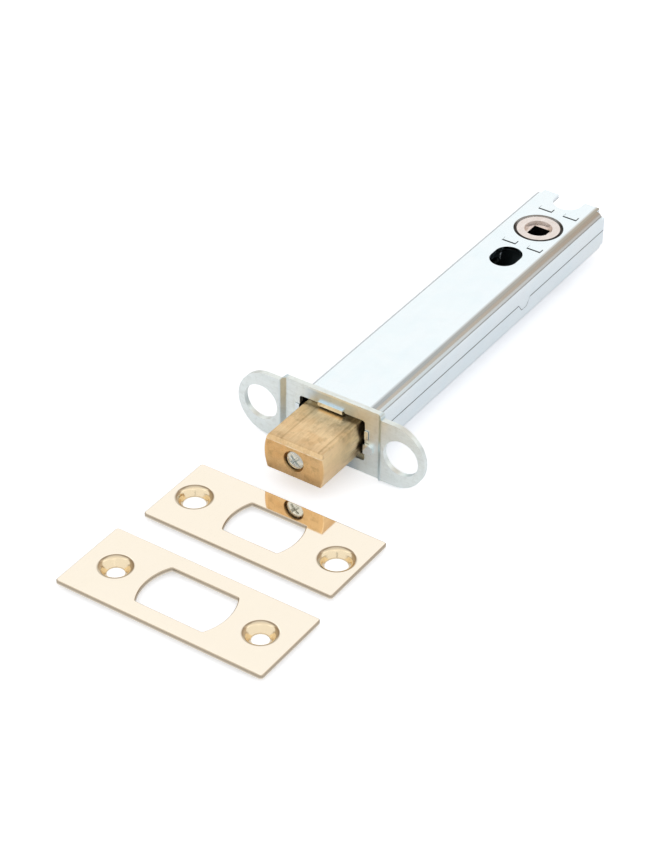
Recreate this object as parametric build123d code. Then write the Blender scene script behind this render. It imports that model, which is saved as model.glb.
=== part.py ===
from build123d import *
import math
import os

# Tubular mortice deadbolt with its loose faceplate and strike plate, in millimetres.
# The origin is midway between the two screw holes, on the face of the forend's ears.
# +X is the way the bolt is thrown, +Y runs along the forend, +Z is the follower's axis.
# The bolt is thrown. The two brass plates lie on the surface that the forend stands on.

os.makedirs("parts", exist_ok=True)

# Forend: one plate, its ears stepped forward of the middle
FOREND_THICKNESS = 1.5
FOREND_HEIGHT = 20.4
FOREND_MIDDLE_WIDTH = 28.6
FOREND_CORNER_RADIUS = 0.7
EAR_STEP = 1.1
EAR_STEP_WIDTH = 1.2
EAR_HEIGHT = 19.0
FOREND_LENGTH = 57.7
FOREND_BEND_RADIUS = 0.45
EAR_HOLE_RADIUS = 5.2
SCREW_SPACING = 43.4
BOLT_WAY_CORNER_RADIUS = 0.8
BOLT_WAY_HEIGHT_OVER_CASE_BORE = 1.9

# Case: two folded channels that meet at a seam along both sides
CASE_WIDTH = 22.5
CASE_HEIGHT = 13.0
CASE_SHEET = 1.15
CASE_BEND_RADIUS = 2.2
SEAM_HEIGHT = 0.3
SEAM_GAP = 0.2
SIDE_SET_BACK = 0.5
REAR_RELIEF_LENGTH = 1.9
TONGUE_FROM_FOLLOWER = 26.3
TONGUE_WIDTH = 6.0
TONGUE_TIP_WIDTH = 2.4
TONGUE_DEPTH = 2.2
TONGUE_GAP = 0.15

# Tabs at the front of the case
WEB_TAB_WIDTH = 7.5
WEB_TAB_OFFSET = -0.25
WEB_TAB_END_GAP = 0.35
WEB_TAB_PROUD = 0.7
WEB_TAB_LIP = 0.65
SIDE_TAB_LENGTH = 2.6
SIDE_TAB_TOP = 3.5
SIDE_TAB_PROUD = 0.3
CLENCH_TOP = -0.4
CLENCH_LENGTH = 2.9
CLENCH_REACH = 1.7
CLENCH_THICKNESS = 0.9
CLENCH_TIP_ROUNDING = 0.9
TAB_GAP = 0.1

# Follower and its place
BACKSET = 106.0
FOLLOWER_TO_CASE_END = 19.2
FOLLOWER_HOLE_RADIUS = 7.1
FOLLOWER_RUNNING_GAP = 0.08
FOLLOWER_JOURNAL_HEIGHT = 0.45
FOLLOWER_NOSE_RADIUS = 6.2
FOLLOWER_NOSE_SET_BACK = 0.1
FOLLOWER_FLANGE_RADIUS = 7.9
FOLLOWER_FLANGE_THICKNESS = 0.7
FOLLOWER_END_PLAY = 0.1
FOLLOWER_BODY_RADIUS = 5.6
FOLLOWER_FLAT_DISTANCE = 5.0
SOCKET_WIDTH = 5.1
DISH_RADIUS = 4.0
DISH_DEPTH = 1.3
DISH_TAPER = 0.35

# Fork of the follower and the stud that it moves
FOLLOWER_TURN = 90.0
FORK_THICKNESS = 3.0
FORK_TIP_GAP = 0.3
FORK_PRONG_HALF_WIDTH = 3.75
FORK_GAP = 0.13
FORK_ROOT_PLAY = 0.85
FORK_MOUTH_PLAY = 0.8
STUD_RADIUS = 1.5
STUD_OVERHANG = 0.3
STUD_NECK_RADIUS = 1.1
STUD_HEAD_RADIUS = 1.8
STUD_HEAD_HEIGHT = 0.5
RIVET_GAP = 0.02

# Draw bar: bent strip behind the bolt
BAR_THICKNESS = 2.0
BAR_OVER_FORK = 0.3
BAR_STRIP_WIDTH = 3.4
BAR_TO_CASE_SIDE = 0.85
BAR_TO_OTHER_SIDE = 4.1
BAR_WIDE_LENGTH = 48.0
BAR_TAPER_LENGTH = 6.0
BAR_BEND_RADIUS = 2.6
BAR_FLANGE_DROP = 4.2
BAR_FLANGE_TO_CASE_SIDE = 3.1
BAR_HOLE_GAP = 0.05

# Bolt and its screw
BOLT_SIDE_GAP = 0.9
BOLT_TOP_GAP = 0.2
BOLT_LENGTH = 32.0
BOLT_EDGE_RADIUS = 0.6
BOLT_NOSE_BEVEL = 1.1
BOLT_NOSE_CHAMFER = 0.3
ARC_END_RADIUS = 14.5
COUNTERBORE_RADIUS = 3.1
COUNTERBORE_DEPTH = 2.4
SCREW_HEAD_RADIUS = 2.7
SCREW_HEAD_HEIGHT = 2.1
SCREW_HEAD_DOME = 0.5
SCREW_SHANK_RADIUS = 1.95
SCREW_HOLE_GAP = 0.15
SCREW_END_LENGTH = 1.2
RECESS_SPAN = 3.3
RECESS_ARM = 0.75
RECESS_DEPTH = 1.2

# Spacers across the case, in front of the follower and behind it
SPACER_FROM_FOLLOWER = 10.2
SPACER_THICKNESS = 1.4
SPACER_TO_BAR = 0.45
SPACER_TO_CASE_SIDE = 1.9
SPACER_TAB_WIDTH = 4.0
SPACER_TAB_SPACING = 8.0
SPACER_TAB_OFFSET = 0.8
SPACER_TAB_PROUD = 0.15
STAKE_GAP_SIDE = 0.2
STAKE_GAP_NEAR = 0.35

# Holes for the two screws that pass through the case
THROUGH_BOLT_FROM_FOLLOWER = 18.0
THROUGH_HOLE_RADIUS = 4.0
THROUGH_HOLE_STRETCH = 2.6
REAR_NOTCH_RADIUS = 4.3

# Leaf spring that holds the follower at each end of its turn
SPRING_THICKNESS = 0.45
SPRING_WIDTH = 4.0
SPRING_FLAT_GAP = 0.05
SPRING_BOW = 1.3
SPRING_END_LENGTH = 0.8
SPRING_SLOT_GAP = 0.25

# Brass plates
PLATE_THICKNESS = 1.2
PLATE_CORNER_RADIUS = 0.8
PLATE_EDGE_CHAMFER = 0.25
DIMPLE_DEPTH = 2.4
DIMPLE_RIM_CHAMFER = 0.4
DIMPLE_LAND = 0.4
DIMPLE_WALL = 1.1
OPENING_CORNER_RADIUS = 0.5
FACEPLATE_LENGTH = 57.0
FACEPLATE_WIDTH = 24.9
FACEPLATE_OPENING_OVER_WIDTH = 1.0
FACEPLATE_OPENING_OVER_HEIGHT = 2.4
FACEPLATE_DISH_RADIUS = 4.75
FACEPLATE_HOLE_RADIUS = 3.0
FACEPLATE_X = 34.3
FACEPLATE_Y = 3.6
STRIKE_LENGTH = 61.5
STRIKE_WIDTH = 24.7
STRIKE_OPENING_WIDTH = 24.0
STRIKE_OPENING_HEIGHT = 14.8
STRIKE_DISH_RADIUS = 4.5
STRIKE_HOLE_RADIUS = 2.3
STRIKE_X = 67.3
STRIKE_Y = 4.0

# Places worked out from the sizes above
FLOOR = -FOREND_HEIGHT / 2
SEAT_FRONT = -EAR_STEP
SEAT_BACK = SEAT_FRONT - FOREND_THICKNESS
FOLLOWER_X = -BACKSET
CASE_END = FOLLOWER_X - FOLLOWER_TO_CASE_END
CASE_TOP = CASE_HEIGHT / 2
BORE_TOP = CASE_TOP - CASE_SHEET
BORE_SIDE = CASE_WIDTH / 2 - CASE_SHEET
BAR_LEFT_EDGE = BAR_TO_CASE_SIDE - BORE_SIDE
BAR_RIGHT_EDGE = BORE_SIDE - BAR_TO_OTHER_SIDE
STUD_Y = BAR_LEFT_EDGE + BAR_STRIP_WIDTH / 2
THROW = -2 * STUD_Y * math.tan(math.radians(FOLLOWER_TURN / 2))
STUD_X = FOLLOWER_X + THROW / 2
BOLT_WIDTH = 2 * (BORE_SIDE - BOLT_SIDE_GAP)
BOLT_HEIGHT = 2 * (BORE_TOP - BOLT_TOP_GAP)
BOLT_FRONT = PLATE_THICKNESS + THROW
BOLT_BACK = BOLT_FRONT - BOLT_LENGTH
SPACER_LEFT_EDGE = BAR_LEFT_EDGE + BAR_STRIP_WIDTH + SPACER_TO_BAR
SPACER_RIGHT_EDGE = BORE_SIDE - SPACER_TO_CASE_SIDE
FORK_TOP = FORK_THICKNESS / 2
BAR_BOTTOM = FORK_TOP + BAR_OVER_FORK
BAR_TOP = BAR_BOTTOM + BAR_THICKNESS
CUT = 2 * CASE_HEIGHT
HUNG = (Align.CENTER, Align.CENTER, Align.MAX)


def arc_ended(width, height, corner):
    """Outline with straight long sides and bowed ends of one radius, its corners rounded."""
    half = height / 2
    bow = ARC_END_RADIUS - math.sqrt(ARC_END_RADIUS**2 - half**2)
    tip = width / 2
    edge = tip - bow
    with BuildSketch() as outline:
        with BuildLine():
            Line((-edge, half), (edge, half))
            ThreePointArc((edge, half), (tip, 0), (edge, -half))
            Line((edge, -half), (-edge, -half))
            ThreePointArc((-edge, -half), (-tip, 0), (-edge, half))
        make_face()
        fillet(outline.vertices(), corner)
    return outline.sketch


def box_between(low, high):
    """Box from its lowest to its highest corner."""
    size = [b - a for a, b in zip(low, high)]
    middle = [(a + b) / 2 for a, b in zip(low, high)]
    return Pos(*middle) * Box(*size)


def seen_from_front(sketch, x):
    """A sketch drawn in Y and Z, set at x."""
    return Plane(origin=(x, 0, 0), x_dir=(0, 1, 0), z_dir=(1, 0, 0)) * sketch


def step_corner_shift():
    """How far a step's corner moves along the plate from its front face to its back."""
    slope = math.atan2(EAR_STEP, EAR_STEP_WIDTH)
    return FOREND_THICKNESS * math.tan(slope / 2)


def make_forend():
    """Plate with ears stepped forward, seen from above as one folded strip."""
    inner = FOREND_MIDDLE_WIDTH / 2
    outer = inner + EAR_STEP_WIDTH
    tip = FOREND_LENGTH / 2
    shift = step_corner_shift()
    front = [(0, tip), (0, outer), (SEAT_FRONT, inner)]
    back = [(SEAT_BACK, inner + shift), (-FOREND_THICKNESS, outer + shift), (-FOREND_THICKNESS, tip)]
    right = front + back
    left = [(x, -y) for x, y in reversed(right)]
    middle = right[:3] + left[3:] + left[:3] + right[3:]
    with BuildSketch() as strip:
        Polygon(*middle, align=None)
        bends = strip.vertices().filter_by(lambda v: abs(v.Y) < tip - FOREND_THICKNESS)
        fillet(bends, FOREND_BEND_RADIUS)
    folded = extrude(strip.sketch, FOREND_HEIGHT / 2, both=True)
    face = RectangleRounded(2 * outer, FOREND_HEIGHT, FOREND_CORNER_RADIUS)
    face += SlotOverall(FOREND_LENGTH, EAR_HEIGHT)
    way_height = 2 * BORE_TOP + BOLT_WAY_HEIGHT_OVER_CASE_BORE
    face -= RectangleRounded(2 * BORE_SIDE, way_height, BOLT_WAY_CORNER_RADIUS)
    for side in (-1, 1):
        face -= Pos(side * SCREW_SPACING / 2, 0) * Circle(EAR_HOLE_RADIUS)
    for low, high in front_tab_notches():
        face -= Pos((low[0] + high[0]) / 2, (low[1] + high[1]) / 2) * Rectangle(
            high[0] - low[0], high[1] - low[1]
        )
    outline = extrude(seen_from_front(face, SEAT_BACK), FOREND_THICKNESS + EAR_STEP)
    return folded & outline


def front_tab_notches():
    """Notches at the bolt's way for the case's tabs, as corners in Y and Z."""
    notches = []
    reach = CASE_WIDTH / 2 + TAB_GAP
    web_low = WEB_TAB_OFFSET - WEB_TAB_WIDTH / 2 - WEB_TAB_END_GAP
    web_high = WEB_TAB_OFFSET + WEB_TAB_WIDTH / 2 + WEB_TAB_END_GAP
    for up in (-1, 1):
        heights = sorted((up * BORE_TOP, up * (CASE_TOP + TAB_GAP)))
        notches.append(((web_low, heights[0]), (web_high, heights[1])))
    upper = (SIDE_TAB_TOP - SIDE_TAB_LENGTH - TAB_GAP, SIDE_TAB_TOP + TAB_GAP)
    lower = (CLENCH_TOP - CLENCH_LENGTH - TAB_GAP, CLENCH_TOP + TAB_GAP)
    for low, high in (upper, lower):
        for side in (-1, 1):
            across = sorted((side * (BORE_SIDE - TAB_GAP), side * reach))
            notches.append(((across[0], low), (across[1], high)))
    return notches


def case_tube():
    """Both channels as one folded tube, its bends cut back at the rear."""
    ring = RectangleRounded(CASE_WIDTH, CASE_HEIGHT, CASE_BEND_RADIUS)
    ring -= RectangleRounded(2 * BORE_SIDE, 2 * BORE_TOP, CASE_BEND_RADIUS - CASE_SHEET)
    webs = ring & Rectangle(CASE_WIDTH - 2 * CASE_BEND_RADIUS, 2 * CASE_HEIGHT)
    sides = ring & Rectangle(2 * CASE_WIDTH, CASE_HEIGHT - 2 * CASE_BEND_RADIUS)
    relief = CASE_END + REAR_RELIEF_LENGTH
    side_end = CASE_END + SIDE_SET_BACK
    tube = extrude(seen_from_front(ring, relief), SEAT_BACK - relief)
    tube += extrude(seen_from_front(webs, CASE_END), relief - CASE_END)
    tube += extrude(seen_from_front(sides, side_end), relief - side_end)
    tube -= Pos(FOLLOWER_X, 0, 0) * Cylinder(FOLLOWER_HOLE_RADIUS, CUT)
    front_hole = SlotOverall(2 * THROUGH_HOLE_RADIUS + THROUGH_HOLE_STRETCH, 2 * THROUGH_HOLE_RADIUS)
    tube -= Pos(FOLLOWER_X + THROUGH_BOLT_FROM_FOLLOWER, 0, 0) * extrude(front_hole, CUT / 2, both=True)
    notch_front = FOLLOWER_X - THROUGH_BOLT_FROM_FOLLOWER + THROUGH_HOLE_RADIUS + THROUGH_HOLE_STRETCH / 2
    notch = Circle(REAR_NOTCH_RADIUS)
    notch += Rectangle(CUT, 2 * REAR_NOTCH_RADIUS, align=(Align.MAX, Align.CENTER))
    tube -= Pos(notch_front - REAR_NOTCH_RADIUS, 0, 0) * extrude(notch, CUT / 2, both=True)
    for x, y in spacer_tab_places():
        tube -= Pos(x + (STAKE_GAP_NEAR - STAKE_GAP_SIDE) / 2, y, 0) * Box(
            SPACER_THICKNESS + STAKE_GAP_NEAR + STAKE_GAP_SIDE, SPACER_TAB_WIDTH + 2 * STAKE_GAP_SIDE, CUT
        )
    return tube


def tongues(gap):
    """Tapered tongues that drop from the seam on both sides, grown by a gap."""
    top = SEAM_HEIGHT + CASE_BEND_RADIUS / 2
    with BuildSketch(Plane.XZ) as tongue:
        x = FOLLOWER_X + TONGUE_FROM_FOLLOWER
        half = TONGUE_WIDTH / 2 + gap
        tip = TONGUE_TIP_WIDTH / 2 + gap
        low = SEAM_HEIGHT - TONGUE_DEPTH - gap
        Polygon(
            (x - half, top), (x - half, SEAM_HEIGHT), (x - tip, low),
            (x + tip, low), (x + half, SEAM_HEIGHT), (x + half, top), align=None,
        )
    return extrude(tongue.sketch, CASE_WIDTH, both=True)


def web_tab(up):
    """Tab at the front of a web, its end clinched over the edge of the forend's middle."""
    with BuildSketch(Plane.XZ) as side:
        Polygon(
            (SEAT_BACK - CASE_SHEET, up * BORE_TOP), (SEAT_FRONT, up * BORE_TOP),
            (SEAT_FRONT + WEB_TAB_PROUD, up * (BORE_TOP + WEB_TAB_LIP)),
            (SEAT_FRONT + WEB_TAB_PROUD, up * (CASE_TOP + WEB_TAB_LIP)),
            (SEAT_FRONT, up * (CASE_TOP + WEB_TAB_LIP)), (SEAT_FRONT, up * CASE_TOP),
            (SEAT_BACK - CASE_SHEET, up * CASE_TOP), align=None,
        )
    return Pos(0, WEB_TAB_OFFSET, 0) * extrude(side.sketch, WEB_TAB_WIDTH / 2, both=True)


def side_tab(side, low, high, reach):
    """Tab at the front of a side wall."""
    across = sorted((side * BORE_SIDE, side * CASE_WIDTH / 2))
    return box_between((SEAT_BACK - CASE_SHEET, across[0], low), (SEAT_FRONT + reach, across[1], high))


def make_case_upper_shell():
    """Channel above the seam, with its tongues and front tabs."""
    above = SEAM_HEIGHT + SEAM_GAP / 2
    keep = box_between((CASE_END - CUT, -CASE_WIDTH, above), (0, CASE_WIDTH, CUT))
    shell = case_tube() & (keep + tongues(0))
    shell += web_tab(1)
    for side in (-1, 1):
        shell += side_tab(side, SIDE_TAB_TOP - SIDE_TAB_LENGTH, SIDE_TAB_TOP, SIDE_TAB_PROUD)
    return shell


def make_case_lower_shell():
    """Channel below the seam, its side tabs bent outwards over the forend's face."""
    below = SEAM_HEIGHT - SEAM_GAP / 2
    keep = box_between((CASE_END - CUT, -CASE_WIDTH, -CUT), (0, CASE_WIDTH, below))
    shell = case_tube() & keep
    shell -= tongues(TONGUE_GAP)
    shell += web_tab(-1)
    low = CLENCH_TOP - CLENCH_LENGTH
    for side in (-1, 1):
        shell += side_tab(side, low, CLENCH_TOP, CLENCH_THICKNESS)
        across = sorted((side * BORE_SIDE, side * (CASE_WIDTH / 2 + CLENCH_REACH)))
        lip = box_between(
            (SEAT_FRONT, across[0], low), (SEAT_FRONT + CLENCH_THICKNESS, across[1], CLENCH_TOP)
        )
        ends = lip.edges().filter_by(Axis.X).sort_by(Axis.Y)
        tips = ends[-2:] if side > 0 else ends[:2]
        lip = fillet(tips, CLENCH_TIP_ROUNDING * min(CLENCH_REACH, CLENCH_LENGTH / 2))
        shell += lip
    return shell


def spacer_tab_places():
    """Centres of the four staked tabs, in X and Y."""
    places = []
    for end in (-1, 1):
        for side in (-1, 1):
            x = FOLLOWER_X + end * SPACER_FROM_FOLLOWER
            y = SPACER_TAB_OFFSET + side * SPACER_TAB_SPACING / 2
            places.append((x, y))
    return places


def spring_seat_y():
    """Middle of the leaf spring's ends across the case."""
    touch = FOLLOWER_FLAT_DISTANCE + SPRING_FLAT_GAP
    return touch + SPRING_THICKNESS / 2 + SPRING_BOW


def make_spacer(end):
    """Cross plate with two tabs above and two below, and a slot that seats the spring."""
    x = FOLLOWER_X + end * SPACER_FROM_FOLLOWER
    half = SPACER_THICKNESS / 2
    plate = box_between((x - half, SPACER_LEFT_EDGE, -BORE_TOP), (x + half, SPACER_RIGHT_EDGE, BORE_TOP))
    reach = CASE_TOP + SPACER_TAB_PROUD
    for tab_x, tab_y in spacer_tab_places():
        if abs(tab_x - x) < half:
            plate += Pos(tab_x, tab_y, 0) * Box(SPACER_THICKNESS, SPACER_TAB_WIDTH, 2 * reach)
    slot_height = SPRING_WIDTH + 2 * SPRING_SLOT_GAP
    slot_width = SPRING_THICKNESS + 2 * SPRING_SLOT_GAP
    plate -= Pos(x, spring_seat_y(), 0) * Box(2 * SPACER_THICKNESS, slot_width, slot_height)
    return plate


def make_detent_spring():
    """Bowed leaf, its middle close to the follower's flat and its ends in the spacers' slots."""
    seat = spring_seat_y()
    knee = SPACER_FROM_FOLLOWER - SPACER_THICKNESS / 2
    tail = SPACER_FROM_FOLLOWER + SPACER_THICKNESS / 2 + SPRING_END_LENGTH
    with BuildLine() as line:
        Line((-tail, seat), (-knee, seat))
        ThreePointArc((-knee, seat), (0, seat - SPRING_BOW), (knee, seat))
        Line((knee, seat), (tail, seat))
    leaf = trace(line.line, SPRING_THICKNESS)
    return Pos(FOLLOWER_X, 0, 0) * extrude(leaf, SPRING_WIDTH / 2, both=True)


def fork_outline():
    """Two-pronged arm along +X. Its slot lets the stud lead or lag a turn that keeps pace."""
    tip = BORE_SIDE - FORK_TIP_GAP
    arm = Rectangle(tip, 2 * FORK_PRONG_HALF_WIDTH, align=(Align.MIN, Align.CENTER)) & Circle(tip)
    turn = math.radians(FOLLOWER_TURN / 2)
    reach = math.sqrt(math.tan(turn) / turn)
    lead = math.sqrt(reach**2 - 1)
    slack = -STUD_Y * reach * math.sin(math.atan(lead) - lead * turn / math.tan(turn))
    root = -STUD_Y
    bottom = root - STUD_RADIUS - FORK_GAP
    root_half = STUD_RADIUS + FORK_ROOT_PLAY * slack
    waist = root * reach
    waist_half = STUD_RADIUS + slack + FORK_GAP
    mouth = tip + FORK_TIP_GAP
    mouth_half = STUD_RADIUS + FORK_MOUTH_PLAY * slack
    with BuildSketch() as slot:
        with BuildLine():
            ThreePointArc((mouth, mouth_half), (waist, waist_half), (root, root_half))
            ThreePointArc((root, root_half), (bottom, 0), (root, -root_half))
            ThreePointArc((root, -root_half), (waist, -waist_half), (mouth, -mouth_half))
            Line((mouth, -mouth_half), (mouth, mouth_half))
        make_face()
    return arm - slot.sketch


def make_follower():
    """Turned hub with two journals, a fork, two flats for the spring and a square socket."""
    nose_top = CASE_TOP - FOLLOWER_NOSE_SET_BACK
    journal_top = BORE_TOP + FOLLOWER_JOURNAL_HEIGHT
    flange_top = BORE_TOP - FOLLOWER_END_PLAY
    flange_low = flange_top - FOLLOWER_FLANGE_THICKNESS
    journal = FOLLOWER_HOLE_RADIUS - FOLLOWER_RUNNING_GAP
    upper = [
        (0, nose_top), (FOLLOWER_NOSE_RADIUS, nose_top), (FOLLOWER_NOSE_RADIUS, journal_top),
        (journal, journal_top), (journal, flange_top), (FOLLOWER_FLANGE_RADIUS, flange_top),
        (FOLLOWER_FLANGE_RADIUS, flange_low), (FOLLOWER_BODY_RADIUS, flange_low),
    ]
    lower = [(r, -z) for r, z in reversed(upper)]
    profile = Plane.XZ * Polygon(*upper, *lower, align=None)
    hub = revolve(profile, Axis.Z)
    flat = 2 * FOLLOWER_BODY_RADIUS
    for turn in (90, 180):
        hub -= Rot(0, 0, turn) * box_between(
            (FOLLOWER_FLAT_DISTANCE, -flat, -flange_low), (flat, flat, flange_low)
        )
    fork = fork_outline() - Circle(SOCKET_WIDTH / 2)
    hub += Rot(0, 0, FOLLOWER_TURN / 2 - 90) * extrude(fork, FORK_TOP, both=True)
    hub -= Box(SOCKET_WIDTH, SOCKET_WIDTH, CUT)
    dish = Cone(DISH_RADIUS - DISH_TAPER, DISH_RADIUS, DISH_DEPTH, align=HUNG)
    hub -= Pos(0, 0, nose_top) * dish
    hub -= Rot(180, 0, 0) * (Pos(0, 0, nose_top) * dish)
    return Pos(FOLLOWER_X, 0, 0) * hub


def make_bolt():
    """Brass bar, bevelled above its front face, with a counterbored hole for its screw."""
    section = arc_ended(BOLT_WIDTH, BOLT_HEIGHT, BOLT_EDGE_RADIUS)
    bar = extrude(seen_from_front(section, BOLT_BACK), BOLT_LENGTH)
    top = BOLT_HEIGHT / 2
    with BuildSketch(Plane.XZ) as bevel:
        Polygon(
            (BOLT_FRONT - BOLT_NOSE_BEVEL, top), (BOLT_FRONT, top - BOLT_NOSE_BEVEL),
            (BOLT_FRONT + BOLT_NOSE_BEVEL, top), align=None,
        )
    bar -= extrude(bevel.sketch, BOLT_WIDTH, both=True)
    nose = bar.faces().sort_by(Axis.X)[-1]
    bar = chamfer(nose.edges().sort_by(Axis.Z)[:-1], BOLT_NOSE_CHAMFER)
    hole = SCREW_SHANK_RADIUS + SCREW_HOLE_GAP
    bar -= Pos((BOLT_FRONT + BOLT_BACK) / 2, 0, 0) * Rot(0, 90, 0) * Cylinder(hole, 2 * BOLT_LENGTH)
    bar -= Pos(BOLT_FRONT, 0, 0) * Rot(0, 90, 0) * Cylinder(COUNTERBORE_RADIUS, 2 * COUNTERBORE_DEPTH)
    return bar


def make_bolt_screw():
    """Pan head screw with a cross recess, down through the bolt into the draw bar."""
    seat = BOLT_FRONT - COUNTERBORE_DEPTH
    end = BOLT_BACK - BAR_THICKNESS - SCREW_END_LENGTH
    with BuildSketch(Plane.XZ) as half:
        with BuildLine():
            Line((end, 0), (end, SCREW_SHANK_RADIUS))
            Line((end, SCREW_SHANK_RADIUS), (seat, SCREW_SHANK_RADIUS))
            Line((seat, SCREW_SHANK_RADIUS), (seat, SCREW_HEAD_RADIUS))
            Line((seat, SCREW_HEAD_RADIUS), (seat + SCREW_HEAD_HEIGHT - SCREW_HEAD_DOME, SCREW_HEAD_RADIUS))
            ThreePointArc(
                (seat + SCREW_HEAD_HEIGHT - SCREW_HEAD_DOME, SCREW_HEAD_RADIUS),
                (seat + SCREW_HEAD_HEIGHT - SCREW_HEAD_DOME / 4, SCREW_HEAD_RADIUS / 2),
                (seat + SCREW_HEAD_HEIGHT, 0),
            )
            Line((seat + SCREW_HEAD_HEIGHT, 0), (end, 0))
        make_face()
    screw = revolve(half.sketch, Axis.X)
    top = seat + SCREW_HEAD_HEIGHT
    cross = Rectangle(RECESS_SPAN, RECESS_ARM) + Rectangle(RECESS_ARM, RECESS_SPAN)
    recess = extrude(seen_from_front(Rot(0, 0, 45) * cross, top), -RECESS_DEPTH)
    return screw - recess


def make_draw_bar():
    """Strip bent down behind the bolt, cut back to one side past the first through-bolt."""
    low_y = BAR_LEFT_EDGE
    high_y = BAR_LEFT_EDGE + BAR_STRIP_WIDTH
    wide_end = BOLT_BACK - BAR_WIDE_LENGTH
    with BuildSketch(Plane.XZ) as side:
        with BuildLine():
            Polyline(
                (STUD_X - CUT, BAR_BOTTOM), (STUD_X - CUT, BAR_TOP), (BOLT_BACK, BAR_TOP),
                (BOLT_BACK, -BAR_FLANGE_DROP), (BOLT_BACK - BAR_THICKNESS, -BAR_FLANGE_DROP),
                (BOLT_BACK - BAR_THICKNESS, BAR_BOTTOM), close=True,
            )
        make_face()
        outer = side.vertices().sort_by_distance((BOLT_BACK, BAR_TOP, 0))[0]
        fillet(outer, BAR_BEND_RADIUS)
        inner = side.vertices().sort_by_distance((BOLT_BACK - BAR_THICKNESS, BAR_BOTTOM, 0))[0]
        fillet(inner, BAR_BEND_RADIUS - BAR_THICKNESS)
    bent = extrude(side.sketch, CASE_WIDTH, both=True)
    with BuildSketch() as plan:
        Polygon(
            (STUD_X, low_y), (BOLT_BACK - BAR_THICKNESS, low_y), (BOLT_BACK - BAR_THICKNESS, BAR_RIGHT_EDGE),
            (wide_end, BAR_RIGHT_EDGE), (wide_end - BAR_TAPER_LENGTH, high_y), (STUD_X, high_y), align=None,
        )
        with Locations((STUD_X, STUD_Y)):
            Circle(BAR_STRIP_WIDTH / 2)
        front = BOLT_BACK - BAR_THICKNESS / 2
        with Locations((front, 0)):
            Rectangle(BAR_THICKNESS, 2 * (BORE_SIDE - BAR_FLANGE_TO_CASE_SIDE))
    bar = bent & extrude(plan.sketch, CUT / 2, both=True)
    tapped = Cylinder(SCREW_SHANK_RADIUS + BAR_HOLE_GAP, 4 * BAR_THICKNESS)
    bar -= Pos(BOLT_BACK, 0, 0) * Rot(0, 90, 0) * tapped
    bar -= Pos(STUD_X, STUD_Y, BAR_TOP) * Cylinder(STUD_NECK_RADIUS + RIVET_GAP, 4 * BAR_THICKNESS)
    return bar


def make_draw_bar_stud():
    """Shouldered stud, riveted over on the bar's upper side."""
    low = -FORK_TOP - STUD_OVERHANG
    stud = upright_pin(STUD_RADIUS, low, BAR_BOTTOM)
    stud += upright_pin(STUD_NECK_RADIUS, BAR_BOTTOM, BAR_TOP)
    stud += upright_pin(STUD_HEAD_RADIUS, BAR_TOP, BAR_TOP + STUD_HEAD_HEIGHT)
    return Pos(STUD_X, STUD_Y, 0) * stud


def upright_pin(radius, low, high):
    """Upright cylinder between two heights."""
    return Pos(0, 0, (low + high) / 2) * Cylinder(radius, high - low)


def make_plate(length, width, opening, dish_radius, hole_radius, place):
    """Brass plate lying on its two dimples, with a bowed opening for the bolt."""
    top = FLOOR + DIMPLE_DEPTH
    outline = RectangleRounded(length, width, PLATE_CORNER_RADIUS)
    plate = extrude(outline, -PLATE_THICKNESS)
    plate = chamfer(plate.faces().sort_by(Axis.Z)[-1].edges(), PLATE_EDGE_CHAMFER)
    plate -= extrude(arc_ended(*opening, OPENING_CORNER_RADIUS), CUT, both=True)
    for side in (-1, 1):
        plate = dimpled(plate, side * SCREW_SPACING / 2, dish_radius, hole_radius)
    return Pos(place[0], place[1], top) * Rot(0, 0, 90) * plate


def dimpled(plate, x, dish_radius, hole_radius):
    """The plate with one pressed dimple: a cone inside and out, and a short straight hole."""
    slope = (dish_radius - hole_radius) / (DIMPLE_DEPTH - DIMPLE_LAND)
    back = hole_radius + DIMPLE_WALL
    back_top = back + slope * (DIMPLE_DEPTH - PLATE_THICKNESS)
    cup = Cone(back, back_top, DIMPLE_DEPTH - PLATE_THICKNESS)
    plate += Pos(x, 0, -(DIMPLE_DEPTH + PLATE_THICKNESS) / 2) * cup
    dish = Cone(hole_radius, dish_radius, DIMPLE_DEPTH - DIMPLE_LAND, align=HUNG)
    plate -= Pos(x, 0, 0) * dish
    plate -= Pos(x, 0, 0) * Cylinder(hole_radius, CUT)
    rims = plate.edges().filter_by(GeomType.CIRCLE)
    rim = rims.sort_by_distance((x + dish_radius, 0, 0))[0]
    return chamfer(rim, DIMPLE_RIM_CHAMFER)


def make_pieces():
    """Every piece of the set by name."""
    faceplate_opening = (
        BOLT_WIDTH + FACEPLATE_OPENING_OVER_WIDTH,
        BOLT_HEIGHT + FACEPLATE_OPENING_OVER_HEIGHT,
    )
    strike_opening = (STRIKE_OPENING_WIDTH, STRIKE_OPENING_HEIGHT)
    return {
        "case_upper_shell": make_case_upper_shell(),
        "case_lower_shell": make_case_lower_shell(),
        "forend": make_forend(),
        "bolt": make_bolt(),
        "bolt_screw": make_bolt_screw(),
        "draw_bar": make_draw_bar(),
        "draw_bar_stud": make_draw_bar_stud(),
        "follower": make_follower(),
        "front_spacer": make_spacer(1),
        "rear_spacer": make_spacer(-1),
        "detent_spring": make_detent_spring(),
        "faceplate": make_plate(
            FACEPLATE_LENGTH, FACEPLATE_WIDTH, faceplate_opening,
            FACEPLATE_DISH_RADIUS, FACEPLATE_HOLE_RADIUS, (FACEPLATE_X, FACEPLATE_Y),
        ),
        "strike_plate": make_plate(
            STRIKE_LENGTH, STRIKE_WIDTH, strike_opening,
            STRIKE_DISH_RADIUS, STRIKE_HOLE_RADIUS, (STRIKE_X, STRIKE_Y),
        ),
    }


for name, solid in make_pieces().items():
    solid.label = name
    export_step(solid, f"parts/{name}.step")
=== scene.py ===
import logging
import math
from dataclasses import dataclass
from enum import Enum
from typing import Sequence

import bmesh
import bpy
import numpy as np
from mathutils import Matrix, Vector


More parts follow.
